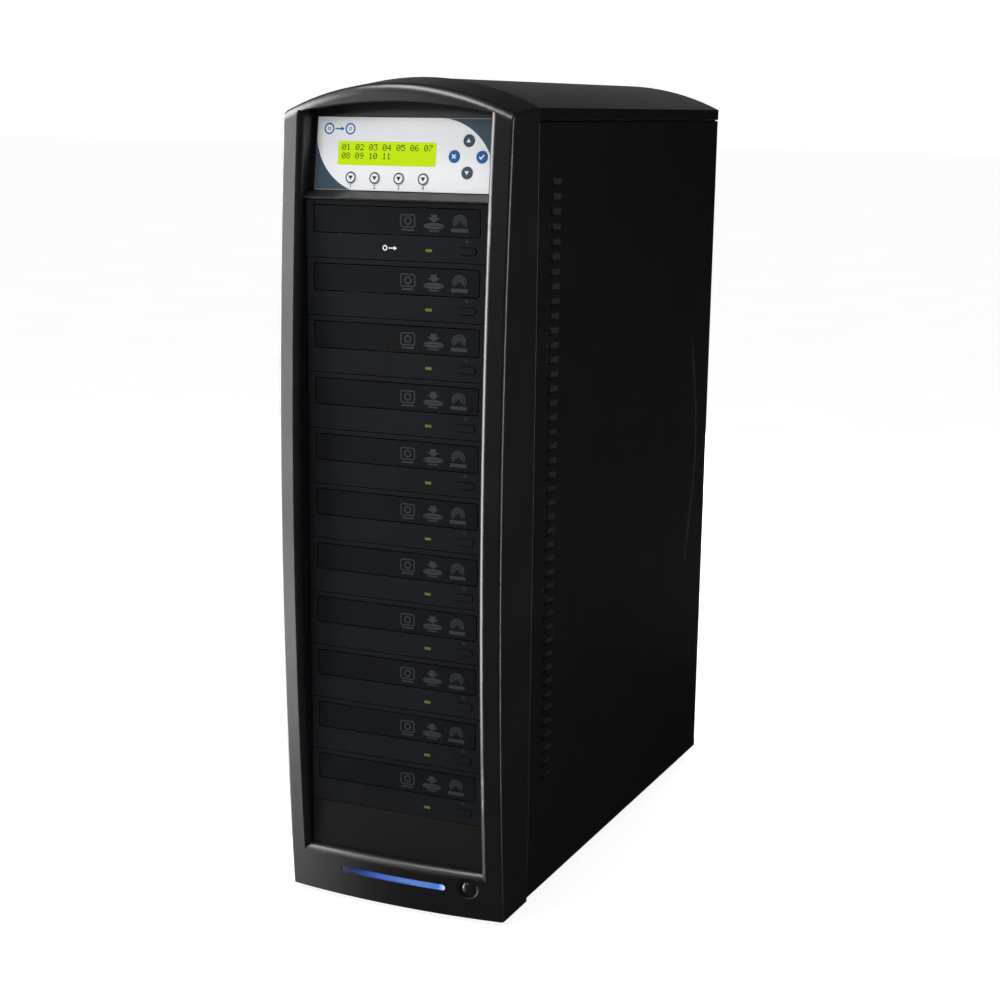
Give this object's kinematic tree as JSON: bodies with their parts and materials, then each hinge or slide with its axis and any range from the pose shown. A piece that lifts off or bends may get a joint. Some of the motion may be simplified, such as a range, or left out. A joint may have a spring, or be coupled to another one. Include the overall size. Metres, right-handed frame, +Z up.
{
  "type": "disc duplicator tower",
  "caption": "Tall black disc duplicator tower with a stack of optical drives, a control panel under an arched brow, and a chin with a light bar and a power button.",
  "frame": {"origin": "under the middle of the tower, on the surface that its feet stand on", "axes": "+X to the right of a person who faces the tower, the front faces -Y, +Z up"},
  "size_m": [0.185, 0.4851, 0.6345],
  "materials": {
    "bezel_plastic": "moulded ABS, satin",
    "cover_plastic": "moulded ABS, fine texture",
    "fascia_plastic": "moulded ABS, fine texture",
    "tray_plastic": "moulded ABS, fine texture",
    "button_plastic": "polished moulded ABS",
    "light_pipe": "clear acrylic light pipe, lit blue",
    "circuit_board": "solder mask over glass-fibre board",
    "bare_steel": "zinc-plated sheet, dull",
    "drive_metal": "plain sheet metal, dull",
    "case_paint": "powder coat, fine texture, satin",
    "foot_rubber": "moulded rubber, matt",
    "screw_metal": "nickel-plated, satin",
    "fan_plastic": "glass-filled plastic, matt",
    "inlet_plastic": "moulded nylon, satin",
    "panel_print": "printed polycarbonate film, satin",
    "display_glass": "backlit display behind clear acrylic",
    "led_plastic": "clear light pipe, lit yellow-green",
    "white_key": "moulded ABS, satin",
    "slate_key": "moulded ABS, satin",
    "blue_key": "moulded ABS, satin"
  },
  "bodies": {
    "chassis": {"front_bezel": "bezel_plastic", "light_bar": "light_pipe", "front_board": "circuit_board", "bay_cover": "cover_plastic", "chassis_front": "bare_steel", "drive_cage": "bare_steel", "controller_board": "circuit_board", "base_tray": "case_paint", "top_cover": "case_paint", "right_side_panel": "case_paint", "left_side_panel": "case_paint", "rear_panel": "case_paint", "feet": "foot_rubber", "thumb_screws": "screw_metal", "fan_frames": "fan_plastic", "psu_case": "drive_metal", "psu_inlet": "inlet_plastic", "panel_plate": "panel_print", "display_window": "display_glass", "panel_board": "circuit_board", "panel_housing": "cover_plastic", "drive_fascias": "fascia_plastic", "drive_shells": "drive_metal", "drive_leds": "led_plastic"},
    "drive_tray_01": {"drive_tray_01": "tray_plastic"},
    "drive_tray_02": {"drive_tray_02": "tray_plastic"},
    "drive_tray_03": {"drive_tray_03": "tray_plastic"},
    "drive_tray_04": {"drive_tray_04": "tray_plastic"},
    "drive_tray_05": {"drive_tray_05": "tray_plastic"},
    "drive_tray_06": {"drive_tray_06": "tray_plastic"},
    "drive_tray_07": {"drive_tray_07": "tray_plastic"},
    "drive_tray_08": {"drive_tray_08": "tray_plastic"},
    "drive_tray_09": {"drive_tray_09": "tray_plastic"},
    "drive_tray_10": {"drive_tray_10": "tray_plastic"},
    "drive_tray_11": {"drive_tray_11": "tray_plastic"},
    "eject_button_01": {"eject_button_01": "fascia_plastic"},
    "eject_button_02": {"eject_button_02": "fascia_plastic"},
    "eject_button_03": {"eject_button_03": "fascia_plastic"},
    "eject_button_04": {"eject_button_04": "fascia_plastic"},
    "eject_button_05": {"eject_button_05": "fascia_plastic"},
    "eject_button_06": {"eject_button_06": "fascia_plastic"},
    "eject_button_07": {"eject_button_07": "fascia_plastic"},
    "eject_button_08": {"eject_button_08": "fascia_plastic"},
    "eject_button_09": {"eject_button_09": "fascia_plastic"},
    "eject_button_10": {"eject_button_10": "fascia_plastic"},
    "eject_button_11": {"eject_button_11": "fascia_plastic"},
    "power_button": {"power_button": "button_plastic"},
    "key_up": {"key_up": "slate_key"},
    "key_down": {"key_down": "slate_key"},
    "key_left": {"key_left": "blue_key"},
    "key_right": {"key_right": "blue_key"},
    "key_menu_1": {"key_menu_1": "white_key"},
    "key_menu_2": {"key_menu_2": "white_key"},
    "key_menu_3": {"key_menu_3": "white_key"},
    "key_menu_4": {"key_menu_4": "white_key"},
    "fan_rotor_upper": {"fan_rotor_upper": "fan_plastic"},
    "fan_rotor_lower": {"fan_rotor_lower": "fan_plastic"},
    "psu_fan": {"psu_fan": "fan_plastic"},
    "psu_switch": {"psu_switch": "inlet_plastic"}
  },
  "joints": [
    {"name": "drive_tray_01_slide", "type": "slide", "parent": "chassis", "child": "drive_tray_01", "axis": [0, -1, 0], "range_m": [0, 0.138]},
    {"name": "drive_tray_02_slide", "type": "slide", "parent": "chassis", "child": "drive_tray_02", "axis": [0, -1, 0], "range_m": [0, 0.138]},
    {"name": "drive_tray_03_slide", "type": "slide", "parent": "chassis", "child": "drive_tray_03", "axis": [0, -1, 0], "range_m": [0, 0.138]},
    {"name": "drive_tray_04_slide", "type": "slide", "parent": "chassis", "child": "drive_tray_04", "axis": [0, -1, 0], "range_m": [0, 0.138]},
    {"name": "drive_tray_05_slide", "type": "slide", "parent": "chassis", "child": "drive_tray_05", "axis": [0, -1, 0], "range_m": [0, 0.138]},
    {"name": "drive_tray_06_slide", "type": "slide", "parent": "chassis", "child": "drive_tray_06", "axis": [0, -1, 0], "range_m": [0, 0.138]},
    {"name": "drive_tray_07_slide", "type": "slide", "parent": "chassis", "child": "drive_tray_07", "axis": [0, -1, 0], "range_m": [0, 0.138]},
    {"name": "drive_tray_08_slide", "type": "slide", "parent": "chassis", "child": "drive_tray_08", "axis": [0, -1, 0], "range_m": [0, 0.138]},
    {"name": "drive_tray_09_slide", "type": "slide", "parent": "chassis", "child": "drive_tray_09", "axis": [0, -1, 0], "range_m": [0, 0.138]},
    {"name": "drive_tray_10_slide", "type": "slide", "parent": "chassis", "child": "drive_tray_10", "axis": [0, -1, 0], "range_m": [0, 0.138]},
    {"name": "drive_tray_11_slide", "type": "slide", "parent": "chassis", "child": "drive_tray_11", "axis": [0, -1, 0], "range_m": [0, 0.138]},
    {"name": "eject_button_01_slide", "type": "slide", "parent": "chassis", "child": "eject_button_01", "axis": [0, 1, 0], "range_m": [0, 0.0012], "stiffness_N_per_m": 150, "springref_m": -0.0005},
    {"name": "eject_button_02_slide", "type": "slide", "parent": "chassis", "child": "eject_button_02", "axis": [0, 1, 0], "range_m": [0, 0.0012], "stiffness_N_per_m": 150, "springref_m": -0.0005},
    {"name": "eject_button_03_slide", "type": "slide", "parent": "chassis", "child": "eject_button_03", "axis": [0, 1, 0], "range_m": [0, 0.0012], "stiffness_N_per_m": 150, "springref_m": -0.0005},
    {"name": "eject_button_04_slide", "type": "slide", "parent": "chassis", "child": "eject_button_04", "axis": [0, 1, 0], "range_m": [0, 0.0012], "stiffness_N_per_m": 150, "springref_m": -0.0005},
    {"name": "eject_button_05_slide", "type": "slide", "parent": "chassis", "child": "eject_button_05", "axis": [0, 1, 0], "range_m": [0, 0.0012], "stiffness_N_per_m": 150, "springref_m": -0.0005},
    {"name": "eject_button_06_slide", "type": "slide", "parent": "chassis", "child": "eject_button_06", "axis": [0, 1, 0], "range_m": [0, 0.0012], "stiffness_N_per_m": 150, "springref_m": -0.0005},
    {"name": "eject_button_07_slide", "type": "slide", "parent": "chassis", "child": "eject_button_07", "axis": [0, 1, 0], "range_m": [0, 0.0012], "stiffness_N_per_m": 150, "springref_m": -0.0005},
    {"name": "eject_button_08_slide", "type": "slide", "parent": "chassis", "child": "eject_button_08", "axis": [0, 1, 0], "range_m": [0, 0.0012], "stiffness_N_per_m": 150, "springref_m": -0.0005},
    {"name": "eject_button_09_slide", "type": "slide", "parent": "chassis", "child": "eject_button_09", "axis": [0, 1, 0], "range_m": [0, 0.0012], "stiffness_N_per_m": 150, "springref_m": -0.0005},
    {"name": "eject_button_10_slide", "type": "slide", "parent": "chassis", "child": "eject_button_10", "axis": [0, 1, 0], "range_m": [0, 0.0012], "stiffness_N_per_m": 150, "springref_m": -0.0005},
    {"name": "eject_button_11_slide", "type": "slide", "parent": "chassis", "child": "eject_button_11", "axis": [0, 1, 0], "range_m": [0, 0.0012], "stiffness_N_per_m": 150, "springref_m": -0.0005},
    {"name": "power_button_slide", "type": "slide", "parent": "chassis", "child": "power_button", "axis": [0, 1, 0], "range_m": [0, 0.002], "stiffness_N_per_m": 150, "springref_m": -0.0005},
    {"name": "key_up_slide", "type": "slide", "parent": "chassis", "child": "key_up", "axis": [0, 0.9903, -0.1392], "range_m": [0, 0.0006], "stiffness_N_per_m": 150, "springref_m": -0.0005},
    {"name": "key_down_slide", "type": "slide", "parent": "chassis", "child": "key_down", "axis": [0, 0.9903, -0.1392], "range_m": [0, 0.0006], "stiffness_N_per_m": 150, "springref_m": -0.0005},
    {"name": "key_left_slide", "type": "slide", "parent": "chassis", "child": "key_left", "axis": [0, 0.9903, -0.1392], "range_m": [0, 0.0006], "stiffness_N_per_m": 150, "springref_m": -0.0005},
    {"name": "key_right_slide", "type": "slide", "parent": "chassis", "child": "key_right", "axis": [0, 0.9903, -0.1392], "range_m": [0, 0.0006], "stiffness_N_per_m": 150, "springref_m": -0.0005},
    {"name": "key_menu_1_slide", "type": "slide", "parent": "chassis", "child": "key_menu_1", "axis": [0, 0.9903, -0.1392], "range_m": [0, 0.0006], "stiffness_N_per_m": 150, "springref_m": -0.0005},
    {"name": "key_menu_2_slide", "type": "slide", "parent": "chassis", "child": "key_menu_2", "axis": [0, 0.9903, -0.1392], "range_m": [0, 0.0006], "stiffness_N_per_m": 150, "springref_m": -0.0005},
    {"name": "key_menu_3_slide", "type": "slide", "parent": "chassis", "child": "key_menu_3", "axis": [0, 0.9903, -0.1392], "range_m": [0, 0.0006], "stiffness_N_per_m": 150, "springref_m": -0.0005},
    {"name": "key_menu_4_slide", "type": "slide", "parent": "chassis", "child": "key_menu_4", "axis": [0, 0.9903, -0.1392], "range_m": [0, 0.0006], "stiffness_N_per_m": 150, "springref_m": -0.0005},
    {"name": "fan_rotor_upper_spin", "type": "hinge", "parent": "chassis", "child": "fan_rotor_upper", "pos_m": [0, 0.22079, 0.427], "axis": [0, 1, 0], "continuous": true},
    {"name": "fan_rotor_lower_spin", "type": "hinge", "parent": "chassis", "child": "fan_rotor_lower", "pos_m": [0, 0.22079, 0.297], "axis": [0, 1, 0], "continuous": true},
    {"name": "psu_fan_spin", "type": "hinge", "parent": "chassis", "child": "psu_fan", "pos_m": [-0.028, 0.22079, 0.544], "axis": [0, 1, 0], "continuous": true},
    {"name": "psu_switch_tip", "type": "hinge", "parent": "chassis", "child": "psu_switch", "pos_m": [0.046, 0.22879, 0.523], "axis": [-1, 0, 0], "range_deg": [0, 14]}
  ]
}
